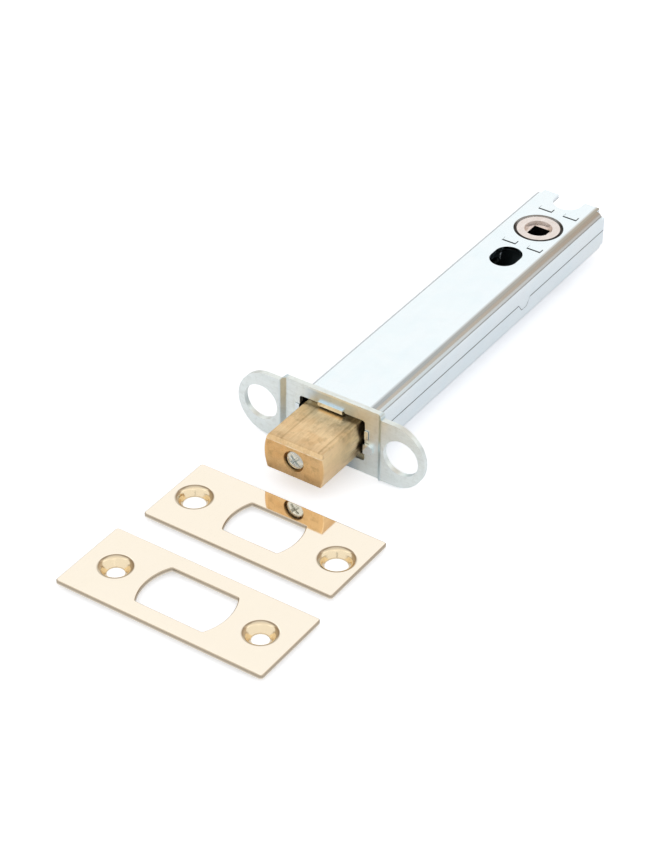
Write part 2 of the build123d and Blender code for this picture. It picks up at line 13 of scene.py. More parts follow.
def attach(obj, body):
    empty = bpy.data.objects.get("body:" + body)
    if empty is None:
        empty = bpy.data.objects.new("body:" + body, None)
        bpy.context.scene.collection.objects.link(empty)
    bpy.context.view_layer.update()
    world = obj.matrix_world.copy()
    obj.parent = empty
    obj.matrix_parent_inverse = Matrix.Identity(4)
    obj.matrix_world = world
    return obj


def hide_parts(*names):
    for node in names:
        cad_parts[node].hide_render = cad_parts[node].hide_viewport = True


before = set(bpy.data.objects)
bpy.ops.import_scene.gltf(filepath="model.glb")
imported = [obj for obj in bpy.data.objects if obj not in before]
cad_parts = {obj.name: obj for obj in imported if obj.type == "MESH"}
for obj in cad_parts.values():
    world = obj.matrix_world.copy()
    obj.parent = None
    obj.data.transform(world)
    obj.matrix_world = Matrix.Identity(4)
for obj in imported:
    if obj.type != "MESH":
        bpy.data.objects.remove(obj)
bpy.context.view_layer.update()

Pair = tuple[float, float]
Triple = tuple[float, float, float]
Socket = bpy.types.NodeSocket
LOG = logging.getLogger("deadbolt")
MM = 0.001
IMAGE_SIZE = (650, 868)
FLOOR_Z = -10.2 * MM
# Points closer than this are one point.
MERGE = 0.0003 * MM
# Outlines in millimetres are compared with this slack and rounded to this many decimals.
SLACK = 1e-6
RIM_SLACK = 1e-3
DECIMALS = 5
# A point this far outside an arc, or this share of its radius, keeps the flat beside it flat.
SUPPORT = 0.03
SUPPORT_SHARE = 0.2
# Where a colour Mix node has its factor and two colours, and its result.
MIX_INPUTS = (0, 6, 7)
MIX_OUTPUT = 2


class Body(Enum):
    """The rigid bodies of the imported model."""

    CASE = "case"
    BOLT = "bolt"
    FOLLOWER = "follower"


class Graph:
    """Lays out one material's or world's nodes."""

    def __init__(self, tree: bpy.types.NodeTree) -> None:
        """Clears the tree.

        Args:
            tree: the node tree to fill.
        """
        self.tree = tree
        tree.nodes.clear()

    def node(self, kind: str, **settings: object) -> bpy.types.Node:
        """Adds a node.

        Args:
            kind: the node's type name without its ShaderNode prefix.
            settings: properties of the node by name.

        Returns:
            The new node.
        """
        made = self.tree.nodes.new("ShaderNode" + kind)
        for key, value in settings.items():
            setattr(made, key, value)
        return made

    def feed(self, socket: Socket, value: object) -> None:
        """Links a socket to another one, or sets its number, colour or vector.

        Args:
            socket: the input to fill.
            value: an output socket, a number or a sequence of numbers.
        """
        if isinstance(value, Socket):
            self.tree.links.new(value, socket)
        elif isinstance(value, (int, float)):
            socket.default_value = value
        else:
            wanted = len(socket.default_value)
            numbers = tuple(value)
            socket.default_value = numbers + (1.0,) * (wanted - len(numbers))

    def math(self, operation: str, *values: object) -> Socket:
        """Combines numbers.

        Args:
            operation: the math node's operation.
            values: its inputs in order.

        Returns:
            The result's socket.
        """
        made = self.node("Math", operation=operation)
        for socket, value in zip(made.inputs, values):
            self.feed(socket, value)
        return made.outputs[0]

    def place(self, stretch: Sequence[float] = (1.0, 1.0, 1.0)) -> Socket:
        """Object coordinates, scaled along each axis.

        Args:
            stretch: the scale along X, Y and Z.

        Returns:
            The vector's socket.
        """
        mapping = self.node("Mapping")
        self.feed(mapping.inputs["Vector"], self.node("TexCoord").outputs["Object"])
        self.feed(mapping.inputs["Scale"], stretch)
        return mapping.outputs["Vector"]

    def axes(self) -> list[Socket]:
        """Splits the object coordinates in metres.

        Returns:
            One socket for each of X, Y and Z.
        """
        split = self.node("SeparateXYZ")
        self.feed(split.inputs[0], self.node("TexCoord").outputs["Object"])
        return list(split.outputs)

    def times(self, first: object, second: object) -> Socket:
        """Product of two numbers, which for two masks is where both are."""
        return self.math("MULTIPLY", first, second)

    def gap(self, first: object, second: object) -> Socket:
        """Distance between two numbers, without its sign."""
        return self.math("ABSOLUTE", self.math("SUBTRACT", first, second))

    def length(self, first: object, second: object) -> Socket:
        """Length of a flat vector: the root of the sum of both squares."""
        return self.math("SQRT", self.math("ADD", self.times(first, first), self.times(second, second)))

    def fall(self, value: object, low: float, high: float, start: float = 1.0) -> Socket:
        """Start up to the low value, and 0 from the high one on."""
        return self.band(value, low, high, start, 0.0)

    def noise(
        self,
        scale: float,
        detail: float = 3.0,
        roughness: float = 0.55,
        stretch: Sequence[float] = (1.0, 1.0, 1.0),
        distortion: float = 0.0,
    ) -> Socket:
        """Noise over the object.

        Args:
            scale: features per metre.
            detail: octaves.
            roughness: how strong the fine octaves are.
            stretch: scale along each axis, small where the features are long.
            distortion: how much the noise is warped.

        Returns:
            The noise's value from 0 to 1.
        """
        made = self.node("TexNoise")
        self.feed(made.inputs["Vector"], self.place(stretch))
        self.feed(made.inputs["Scale"], scale)
        self.feed(made.inputs["Detail"], detail)
        self.feed(made.inputs["Roughness"], roughness)
        self.feed(made.inputs["Distortion"], distortion)
        return made.outputs["Fac"]

    def band(
        self,
        value: object,
        low: float,
        high: float,
        start: float = 0.0,
        end: float = 1.0,
    ) -> Socket:
        """Maps a range of a number to another range and clamps it.

        Low and high must differ: a range without width gives the same result everywhere.

        Args:
            value: the number's socket.
            low: value that gives start.
            high: value that gives end.
            start: result at low.
            end: result at high.

        Returns:
            The mapped value's socket.
        """
        made = self.node("MapRange")
        names = ("Value", "From Min", "From Max", "To Min", "To Max")
        for name, number in zip(names, (value, low, high, start, end)):
            self.feed(made.inputs[name], number)
        return made.outputs["Result"]

    def mix(self, factor: object, first: object, second: object, blend: str = "MIX") -> Socket:
        """Mixes two colours.

        Args:
            factor: 0 gives the first.
            first: a colour or its socket.
            second: a colour or its socket.
            blend: the blend type.

        Returns:
            The mixed colour's socket.
        """
        made = self.node("Mix", data_type="RGBA", blend_type=blend)
        for place, value in zip(MIX_INPUTS, (factor, first, second)):
            self.feed(made.inputs[place], value)
        return made.outputs[MIX_OUTPUT]

    def bump(self, height: object, distance: float, normal: object = None) -> Socket:
        """Bends the normal by a height.

        Args:
            height: the height's socket.
            distance: depth in metres at height 1.
            normal: a normal to start from.

        Returns:
            The normal's socket.
        """
        made = self.node("Bump")
        self.feed(made.inputs["Height"], height)
        self.feed(made.inputs["Strength"], 1.0)
        self.feed(made.inputs["Distance"], distance)
        if normal is not None:
            self.feed(made.inputs["Normal"], normal)
        return made.outputs["Normal"]


def rounded(corners: Sequence[Sequence[float]], radii: Sequence[float], steps: int = 7) -> np.ndarray:
    """Polyline whose inner corners are rounded.

    Each arc is tangent to both sides: it starts radius x tan(half the turn) before the corner, and its
    points divide the turn evenly. A point just outside each tangent keeps the flats flat when shaded smooth.

    Args:
        corners: the corners in order.
        radii: one radius for each inner corner.
        steps: points on each arc.

    Returns:
        The points as an array of pairs.
    """
    points = np.asarray(corners, dtype=float)
    parts = [points[:1]]
    for before, corner, after, radius in zip(points[:-2], points[1:-1], points[2:], radii):
        into = (corner - before) / np.linalg.norm(corner - before)
        out = (after - corner) / np.linalg.norm(after - corner)
        turn = math.acos(float(np.clip(into @ out, -1.0, 1.0)))
        reach = radius * math.tan(turn / 2)
        side = np.array([-into[1], into[0]]) * np.sign(into[0] * out[1] - into[1] * out[0])
        angle = np.linspace(0.0, turn, steps)[:, None]
        arc = corner - into * reach + side * radius + radius * (np.sin(angle) * into - np.cos(angle) * side)
        support = min(SUPPORT, SUPPORT_SHARE * radius)
        parts += [arc[:1] - into * support, arc, arc[-1:] + out * support]
    parts.append(points[-1:])
    return np.concatenate(parts)


def quads(rows: int, columns: int) -> np.ndarray:
    """Corner numbers of a grid's faces, whose last column joins the first.

    Args:
        rows: rows of points.
        columns: points in a row.

    Returns:
        One row of four numbers for each face.
    """
    across = np.arange(columns)
    row = np.arange(rows - 1)[:, None] * columns
    after = (across + 1) % columns
    corners = [row + across, row + after, row + columns + after, row + columns + across]
    return np.stack(corners, axis=-1).reshape(-1, 4)


def swept(outline: np.ndarray, normals: np.ndarray, profile: np.ndarray) -> np.ndarray:
    """Grid of an outline that is moved along its normals, one row for each point of a profile.

    A point is the outline's point plus the profile's first number times the normal there, and the profile's
    second number is its height.

    Args:
        outline: the outline's points as pairs.
        normals: the outline's normals as pairs.
        profile: pairs of offset and height.

    Returns:
        The grid of points.
    """
    flat = outline[None] + profile[:, 0, None, None] * normals[None]
    height = np.broadcast_to(profile[:, 1, None, None], (*flat.shape[:2], 1))
    return np.concatenate([flat, height], axis=2)


def lay_surface(name: str, grids: Sequence[np.ndarray], material: bpy.types.Material) -> bpy.types.Object:
    """Makes one smooth mesh from grids of points in millimetres, whose columns run round.

    Points that coincide are merged, which closes seams and poles, and the faces are turned outwards.

    Args:
        name: the piece's name.
        grids: arrays of rows x columns x 3.
        material: its material.

    Returns:
        The piece's object, at the origin.
    """
    starts = np.cumsum([0] + [grid.shape[0] * grid.shape[1] for grid in grids])
    points = np.concatenate([grid.reshape(-1, 3) for grid in grids])
    faces = np.concatenate([quads(*grid.shape[:2]) + start for grid, start in zip(grids, starts)])
    mesh = bpy.data.meshes.new(name)
    mesh.from_pydata((points * MM).tolist(), [], faces.tolist())
    shell = bmesh.new()
    shell.from_mesh(mesh)
    bmesh.ops.remove_doubles(shell, verts=shell.verts, dist=MERGE)
    bmesh.ops.recalc_face_normals(shell, faces=shell.faces)
    shell.to_mesh(mesh)
    shell.free()
    mesh.polygons.foreach_set("use_smooth", np.ones(len(mesh.polygons), dtype=bool))
    mesh.materials.append(material)
    piece = bpy.data.objects.new(name, mesh)
    bpy.context.scene.collection.objects.link(piece)
    LOG.info("laid %s", name)
    return piece


@dataclass(frozen=True)
class PressedPlate:
    """Thin brass plate with a bowed opening and two pressed screw dimples, sizes in millimetres."""

    name: str
    node: str
    length: float
    width: float
    opening: Pair
    dish_radius: float
    hole_radius: float
    centre: Pair
    thickness: float = 1.2
    depth: float = 2.4
    land: float = 0.4
    wall: float = 1.1
    corner: float = 0.8
    edge: float = 0.34
    shoulder: float = 1.9
    lip: float = 0.25
    spacing: float = 43.4
    bow_radius: float = 14.5
    opening_corner: float = 0.5
    cell: float = 14.2
    back_edge: float = 0.12
    back_lip: float = 0.2
    back_shoulder: float = 0.5
    border: float = 1.2
    dish_border: float = 1.85
    rim_share: float = 0.9
    bow_steps: int = 30
    corner_steps: int = 12
    side_steps: int = 16
    tip_steps: int = 8
    dish_steps: int = 13

    def build(self, material: bpy.types.Material) -> bpy.types.Object:
        """Makes the plate in place of its CAD node.

        Args:
            material: the plate's brass.

        Returns:
            The plate's object.
        """
        loop = self.opening_loop()
        middle = self.middle_outline(loop)
        ends = [self.end_outline(middle, side) for side in (-1.0, 1.0)]
        grids = [self.opening_grid(loop, middle)]
        grids += [self.dimple_grid(end, side) for end, side in zip(ends, (-1.0, 1.0))]
        grids.append(self.rim_grid(np.concatenate([middle, *ends])))
        plate = lay_surface(self.name, [self.placed(grid) for grid in grids], material)
        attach(plate, Body.CASE.value)
        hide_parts(self.node)
        return plate

    def placed(self, grid: np.ndarray) -> np.ndarray:
        """Turns the plate's own length, width and height into the frame's Y, -X and Z.

        Args:
            grid: points in the plate's own sizes.

        Returns:
            The points in the frame.
        """
        along, across, height = grid[..., 0], grid[..., 1], grid[..., 2]
        top = FLOOR_Z / MM + self.depth
        return np.stack([self.centre[0] - across, self.centre[1] + along, top + height], axis=-1)

    def inset(self) -> Triple:
        """Half length, half width and corner radius of the flat top, inside the rounded edge."""
        return self.length / 2 - self.edge, self.width / 2 - self.edge, self.corner - self.edge

    def between_faces(self, outline: np.ndarray, rows: np.ndarray) -> np.ndarray:
        """Puts a field's outline before its rows at the top, and after them at the back.

        Args:
            outline: the field's outline.
            rows: the rows between.

        Returns:
            The grid of points.
        """
        levels = (0.0, -self.thickness)
        top, back = (np.column_stack([outline, np.full(len(outline), level)])[None] for level in levels)
        return np.concatenate([top, rows, back])

    def opening_loop(self) -> np.ndarray:
        """Outline of the opening.

        A quarter is a bowed end of one large radius, then a corner arc, then half the straight side, and
        the other quarters mirror it. A point is added on the ray through the middle field's corner.

        Returns:
            Four rows: place along and across, and the normal along and across.
        """
        half, corner = self.opening[1] / 2, self.opening_corner
        reach = math.sqrt((self.bow_radius - corner) ** 2 - (half - corner) ** 2)
        bow_centre = self.opening[0] / 2 - self.bow_radius
        turn = math.atan2(half - corner, reach)
        bow = np.linspace(0.0, turn, self.bow_steps)
        angle = np.concatenate([bow, np.linspace(turn, math.pi / 2, self.corner_steps)[1:]])
        on_bow = angle <= turn
        radius = np.where(on_bow, self.bow_radius, corner)
        along = np.where(on_bow, bow_centre, bow_centre + reach) + radius * np.cos(angle)
        across = np.where(on_bow, 0.0, half - corner) + radius * np.sin(angle)
        side = np.linspace(bow_centre + reach, 0.0, self.side_steps)[1:]
        quarter = np.array([
            np.concatenate([along, side]),
            np.concatenate([across, np.full(side.shape, half)]),
            np.concatenate([np.cos(angle), np.zeros(side.shape)]),
            np.concatenate([np.sin(angle), np.ones(side.shape)]),
        ])
        polar = np.arctan2(quarter[1], quarter[0])
        wanted = np.sort(np.append(polar, math.atan2(self.width / 2 - self.edge, self.cell)))
        first = np.array([np.interp(wanted, polar, row) for row in quarter])
        mirrored = first[:, ::-1] * np.array([[-1.0], [1.0], [-1.0], [1.0]])
        return np.concatenate([first, mirrored[:, 1:], -first[:, 1:], -mirrored[:, 1:-1]], axis=1)

    def middle_outline(self, loop: np.ndarray) -> np.ndarray:
        """Where rays through the opening's outline meet the middle field's rectangle.

        Args:
            loop: the opening's outline with normals.

        Returns:
            The field's outline as pairs.
        """
        half = self.width / 2 - self.edge
        size = np.maximum(np.abs(loop[0]) / self.cell, np.abs(loop[1]) / half)
        return (loop[:2] / size).T

    def end_outline(self, middle: np.ndarray, side: float) -> np.ndarray:
        """Outline of the field round one dimple.

        It shares the middle field's points on their common side, and follows the plate's edge elsewhere.
        The points are put in order by their angle round the dimple.

        Args:
            middle: the middle field's outline.
            side: -1 or 1.

        Returns:
            The outline's points in order.
        """
        tip, half, radius = self.inset()
        shared = middle[middle[:, 0] * side > self.cell - SLACK]
        arc = np.linspace(0.0, math.pi / 2, self.tip_steps)
        turned = np.stack([tip - radius + radius * np.sin(arc), half - radius + radius * np.cos(arc)])
        long_side = np.linspace(self.cell, tip - radius, self.side_steps)
        short_side = np.linspace(half - radius, 0.0, self.corner_steps)
        along = np.concatenate([long_side, turned[0], np.full(short_side.shape, tip)])
        across = np.concatenate([np.full(long_side.shape, half), turned[1], short_side])
        edge = np.concatenate([np.stack([along, across], axis=1), np.stack([along, -across], axis=1)])
        points = np.unique(np.round(np.concatenate([shared, edge * (side, 1.0)]), DECIMALS), axis=0)
        return points[np.argsort(np.arctan2(points[:, 1], points[:, 0] - side * self.spacing / 2))]

    def opening_grid(self, loop: np.ndarray, outline: np.ndarray) -> np.ndarray:
        """Middle field: the top, the rounded edge and wall of the opening, and the back.

        Each row is the opening's outline moved along its normals, at one height.

        Args:
            loop: the opening's outline with normals.
            outline: the field's outline.

        Returns:
            The grid of points.
        """
        far, back = self.border, -self.thickness
        profile = rounded([(far, 0.0), (0.0, 0.0), (0.0, back), (far, back)], (self.edge, self.back_edge))
        return self.between_faces(outline, swept(loop[:2].T, loop[2:].T, profile))

    def dimple_grid(self, outline: np.ndarray, side: float) -> np.ndarray:
        """Field round a dimple: a profile of radius and height turned round the dimple's axis.

        Args:
            outline: the field's outline.
            side: -1 or 1.

        Returns:
            The grid of points.
        """
        fall = self.depth - self.land
        slope = (self.dish_radius - self.hole_radius) / fall
        back = self.hole_radius + self.wall
        far = self.dish_radius + self.dish_border
        corners = [
            (far, 0.0),
            (self.dish_radius, 0.0),
            (self.hole_radius, -fall),
            (self.hole_radius, -self.depth),
            (back, -self.depth),
            (back + slope * (self.depth - self.thickness), -self.thickness),
            (far, -self.thickness),
        ]
        radii = (self.shoulder, self.lip, self.back_edge, self.back_lip, self.back_shoulder)
        profile = rounded(corners, radii, self.dish_steps)
        middle = np.array([side * self.spacing / 2, 0.0])
        angle = np.arctan2(outline[:, 1], outline[:, 0] - middle[0])
        around = np.stack([np.cos(angle), np.sin(angle)], axis=1)
        return self.between_faces(outline, swept(np.broadcast_to(middle, around.shape), around, profile))

    def rim_grid(self, outline: np.ndarray) -> np.ndarray:
        """The plate's rim: a rounded edge profile carried along the outline, moved along its normals.

        A normal points from the nearest point of the rectangle through the corner arcs' centres.

        Args:
            outline: points of all three fields.

        Returns:
            The grid of points.
        """
        tip, half, radius = self.inset()
        inner = np.array([tip - radius, half - radius])
        points = np.unique(np.round(outline, DECIMALS), axis=0)
        off = points - np.clip(points, -inner, inner)
        reach = np.linalg.norm(off, axis=1)
        on_rim = reach > radius - RIM_SLACK
        points, normals = points[on_rim], off[on_rim] / reach[on_rim, None]
        order = np.argsort(np.arctan2(points[:, 1], points[:, 0]))
        edge, back = self.edge, -self.thickness
        corners = [(0.0, 0.0), (edge, 0.0), (edge, back), (0.0, back)]
        profile = rounded(corners, (self.rim_share * edge, self.back_edge))
        return swept(points[order], normals[order], profile)


@dataclass(frozen=True)
class PanHeadScrew:
    """The bolt's screw with a cross recess, turned about X, sizes in millimetres."""

    name: str = "pan_head_screw"
    node: str = "bolt_screw"
    top: float = 16.0
    seat: float = 13.9
    end: float = -18.9
    head_radius: float = 2.7
    shank_radius: float = 1.95
    dome: float = 0.45
    arm: float = 0.62
    span: float = 3.3
    recess: float = 0.9
    taper: float = 0.3
    turn: float = 45.0
    dome_end: float = 0.3
    edge_radii: tuple[float, ...] = (0.4, 0.1, 0.1, 0.3)
    edge_steps: int = 8
    dome_steps: int = 44
    turn_steps: int = 144

    def build(self, material: bpy.types.Material) -> bpy.types.Object:
        """Makes the screw in place of its CAD node.

        Args:
            material: the screw's steel.

        Returns:
            The screw's object.
        """
        screw = lay_surface(self.name, [self.turned()], material)
        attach(screw, Body.BOLT.value)
        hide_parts(self.node)
        return screw

    def turned(self) -> np.ndarray:
        """Head, shank and end as one turned surface.

        The head's top is a shallow dome, lowered by the recess where a point lies within the cross.

        Returns:
            The grid of points.
        """
        radius = np.linspace(0.0, self.head_radius - self.dome_end, self.dome_steps)
        head = np.stack([radius, self.top - self.dome * (radius / self.head_radius) ** 2], axis=1)
        low = self.top - self.dome
        corners = [
            head[-1],
            (self.head_radius, low),
            (self.head_radius, self.seat),
            (self.shank_radius, self.seat),
            (self.shank_radius, self.end),
            (0.0, self.end),
        ]
        side = rounded(corners, self.edge_radii, self.edge_steps)
        profile = np.concatenate([head, side[1:]])
        angle = np.linspace(0.0, 2 * math.pi, self.turn_steps, endpoint=False)
        around, height = profile[:, :1] * np.cos(angle), profile[:, :1] * np.sin(angle)
        depth = self.depth_at(around, height) * (np.arange(len(profile)) < len(head))[:, None]
        return np.stack([profile[:, 1:] - depth, around, height], axis=-1)

    def depth_at(self, across: np.ndarray, up: np.ndarray) -> np.ndarray:
        """Depth of the cross recess.

        It grows from the cross's outline inwards as a smooth step over the taper's width.

        Args:
            across: places along Y.
            up: places along Z.

        Returns:
            The depth at each place.
        """
        lean = math.radians(self.turn)
        first = np.abs(across * math.cos(lean) + up * math.sin(lean))
        second = np.abs(up * math.cos(lean) - across * math.sin(lean))
        within_span = self.span / 2 - np.maximum(first, second)
        within_arm = (self.arm + self.taper) / 2 - np.minimum(first, second)
        step = np.clip(np.minimum(within_span, within_arm) / self.taper, 0.0, 1.0)
        return self.recess * step * step * (3.0 - 2.0 * step)


@dataclass(frozen=True)
class MetalFinish:
    """Metal with drawn lines along one axis, clouds of tint, fine grain and small pits."""

    name: str
    base: Triple
    tint: Triple
    dull: Triple
    roughness: float = 0.25
    roughness_spread: float = 0.08
    line_stretch: Triple = (0.04, 1.0, 1.0)
    line_scale: float = 2600.0
    line_depth: float = 0.012 * MM
    line_colour: float = 0.2
    grain_depth: float = 0.006 * MM
    cloud_scale: float = 120.0
    tint_amount: float = 0.5
    dull_amount: float = 0.3
    fine_weight: float = 0.6
    coarse_share: float = 0.23
    grain_share: float = 1.7
    spot_share: float = 3.1
    cloud_range: Pair = (0.42, 0.66)
    spot_range: Pair = (0.5, 0.78)
    streak_range: Pair = (0.36, 0.66)
    rough_range: Pair = (0.3, 0.7)

    def build(self) -> bpy.types.Material:
        """Makes the material.

        Returns:
            The new material.
        """
        material = bpy.data.materials.new(self.name)
        material.use_nodes = True
        graph = Graph(material.node_tree)
        lines = graph.noise(self.line_scale, 2.0, 0.6, self.line_stretch)
        coarse = graph.noise(self.line_scale * self.coarse_share, 2.0, 0.5, self.line_stretch)
        fine = graph.times(lines, self.fine_weight)
        streaks = graph.math("ADD", fine, graph.times(coarse, 1.0 - self.fine_weight))
        clouds = graph.noise(self.cloud_scale, 4.0, 0.6, distortion=0.4)
        spots = graph.noise(self.cloud_scale * self.spot_share, 5.0, 0.65)
        tinted = graph.band(clouds, *self.cloud_range, 0.0, self.tint_amount)
        dulled = graph.band(spots, *self.spot_range, 0.0, self.dull_amount)
        drawn = graph.band(streaks, *self.streak_range, 0.0, self.line_colour)
        colour = graph.mix(dulled, graph.mix(tinted, self.base, self.tint), self.dull)
        colour = graph.mix(drawn, colour, self.dull)
        smoothest, roughest = self.roughness - self.roughness_spread, self.roughness + self.roughness_spread
        rough = graph.band(streaks, *self.rough_range, smoothest, roughest)
        colour, rough = self.marks_and_painted_light(graph, colour, rough)
        shade = graph.node("BsdfPrincipled")
        graph.feed(shade.inputs["Base Color"], colour)
        graph.feed(shade.inputs["Metallic"], 1.0)
        graph.feed(shade.inputs["Roughness"], rough)
        normal = graph.bump(graph.noise(self.line_scale * self.grain_share, 3.0, 0.6), self.grain_depth)
        normal = graph.bump(streaks, self.line_depth, normal)
        graph.feed(shade.inputs["Normal"], normal)
        out = graph.node("OutputMaterial")
        graph.feed(out.inputs["Surface"], shade.outputs["BSDF"])
        return material

    def marks_and_painted_light(self, graph: Graph, colour: object, rough: object) -> tuple[object, object]:
        """Changes the colour and roughness from place to place, for marks and for painted light and shade;
        plain sheet has no such places.
        """
        return colour, rough


@dataclass(frozen=True)
class CaseFinish(MetalFinish):
    """Plated sheet with painted shade inside the case, dark lines at the seam and round the tongue, and a
    painted dark reflection along the near upper bend.
    """

    half_width: Pair = (10.1 * MM, 10.15 * MM)
    half_height: Pair = (5.6 * MM, 5.65 * MM)
    outer: Pair = (11.15 * MM, 11.2 * MM)
    seam: float = 0.3 * MM
    seam_width: Pair = (0.13 * MM, 0.21 * MM)
    seam_clear: Pair = (3.0 * MM, 3.1 * MM)
    seam_strength: float = 0.75
    tongue: float = -79.7 * MM
    tongue_width: Pair = (3.3 * MM, 3.35 * MM)
    tongue_depth: Pair = (2.3 * MM, 2.35 * MM)
    # Painted shade inside the case; the dark seam line and the gap round the tongue take the same colour.
    inside: Triple = (0.15, 0.18, 0.19)
    inside_rough: float = 0.25
    flat_end: Pair = (9.35 * MM, 9.65 * MM)
    turn_height: Pair = (5.95 * MM, 6.25 * MM)
    wall_top: Pair = (5.2 * MM, 5.7 * MM)
    # Painted dark reflection on the near upper bend: where it starts on the flat, and its front and rear
    # tints on the flat, the bend and the top of the side wall.
    reflection_band: Pair = (7.7 * MM, 8.6 * MM)
    ends: Pair = (-20.0 * MM, -115.0 * MM)
    flat_reflection_tints: tuple[Triple, ...] = ((0.46, 0.45, 0.44), (0.48, 0.4, 0.32))
    bend_reflection_tints: tuple[Triple, ...] = ((1.0, 1.0, 1.0), (0.8, 0.72, 0.66))
    wall_reflection_tints: tuple[Triple, ...] = ((0.72, 0.73, 0.73), (0.58, 0.52, 0.48))

    def marks_and_painted_light(self, graph: Graph, colour: object, rough: object) -> tuple[object, object]:
        """Paints shade inside the case, darkens the seam and round the tongue, and paints the near upper
        bend.

        The bend's painted dark reflection starts on the flat, is strongest on the upper part of the bend and
        fades into the side. It is greyer at the front end and browner at the rear.

        Args:
            graph: the material's graph.
            colour: the sheet's colour.
            rough: its roughness.

        Returns:
            The new colour and roughness.
        """
        along, side, height = graph.axes()
        across, level = graph.math("ABSOLUTE", side), graph.math("ABSOLUTE", height)
        # Painted shade: the inside of the case, where little light reaches, is coloured dark.
        bore = graph.times(graph.fall(across, *self.half_width), graph.fall(level, *self.half_height))
        from_tongue = graph.gap(along, self.tongue)
        tongue = graph.times(graph.fall(level, *self.tongue_depth), graph.fall(across, *self.outer))
        tongue = graph.times(tongue, graph.fall(from_tongue, *self.tongue_width))
        seam = graph.fall(graph.gap(height, self.seam), *self.seam_width, self.seam_strength)
        seam = graph.times(seam, graph.band(from_tongue, *self.seam_clear))
        mask = graph.math("MAXIMUM", bore, graph.math("MAXIMUM", tongue, seam))
        # Painted dark reflection of the room along the flat's edge, the bend and the top of the side wall.
        rearward = graph.band(along, *self.ends)
        past, high = graph.band(side, *self.flat_end), graph.band(height, *self.turn_height)
        flat = graph.times(graph.times(graph.band(side, *self.reflection_band), high), graph.fall(side, *self.flat_end))
        low = graph.times(graph.band(height, *self.wall_top), graph.fall(height, *self.turn_height))
        for place, tints in (
            (flat, self.flat_reflection_tints),
            (graph.times(past, high), self.bend_reflection_tints),
            (graph.times(past, low), self.wall_reflection_tints),
        ):
            colour = graph.mix(place, colour, graph.mix(rearward, *tints), "MULTIPLY")
        rough = graph.math("ADD", rough, graph.times(mask, self.inside_rough))
        return graph.mix(mask, colour, self.inside), rough


@dataclass(frozen=True)
class ForendFinish(MetalFinish):
    """Dull plated sheet with painted shade along the two joggles, and darker and cooler round the bolt."""

    joggle: float = 15.0 * MM
    joggle_width: Pair = (0.5 * MM, 1.0 * MM)
    joggle_shade: Triple = (0.8, 0.86, 0.91)
    middle_half: Pair = (5.5 * MM, 9.0 * MM)
    middle_top: Pair = (9.3 * MM, 9.9 * MM)
    middle_tint: Triple = (0.7, 0.78, 0.88)
    middle_strength: float = 0.9

    def marks_and_painted_light(self, graph: Graph, colour: object, rough: object) -> tuple[object, object]:
        """Paints a cool shade band on each side where the ears step forward, and darkens and cools the
        middle round the bolt.

        Args:
            graph: the material's graph.
            colour: the sheet's colour.
            rough: its roughness.

        Returns:
            The new colour and roughness.
        """
        _, across, height = graph.axes()
        across = graph.math("ABSOLUTE", across)
        # Darker and cooler in the middle round the bolt, below the top.
        middle = graph.fall(across, *self.middle_half, self.middle_strength)
        middle = graph.times(middle, graph.fall(height, *self.middle_top))
        colour = graph.mix(middle, colour, self.middle_tint, "MULTIPLY")
        # Painted shade along each joggle, where the ears step forward.
        step = graph.fall(graph.gap(across, self.joggle), *self.joggle_width)
        return graph.mix(step, colour, self.joggle_shade, "MULTIPLY"), rough


